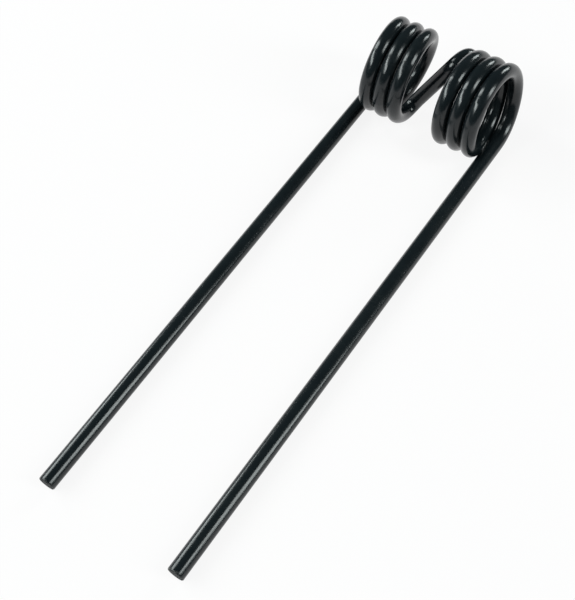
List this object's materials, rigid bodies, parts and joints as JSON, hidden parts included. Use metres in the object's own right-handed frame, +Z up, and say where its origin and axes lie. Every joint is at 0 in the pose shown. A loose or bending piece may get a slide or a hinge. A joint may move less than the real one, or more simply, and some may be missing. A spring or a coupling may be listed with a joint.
{
  "type": "baler pick-up tine",
  "caption": "Pick-up tine bent from one round spring wire: two long straight legs, two mirror-image coils and a slanting bridge between the coils.",
  "frame": {"origin": "centre of the bounding box at the bottom, where the tine lies on its two legs", "axes": "+X across the legs along the axis of the coils, +Y from the tips of the legs to the coils, +Z up"},
  "size_m": [0.0568, 0.2046, 0.0352],
  "materials": {
    "paint": "gloss black paint on spring steel wire"
  },
  "bodies": {
    "root": {"tine": "paint"}
  },
  "joints": []
}
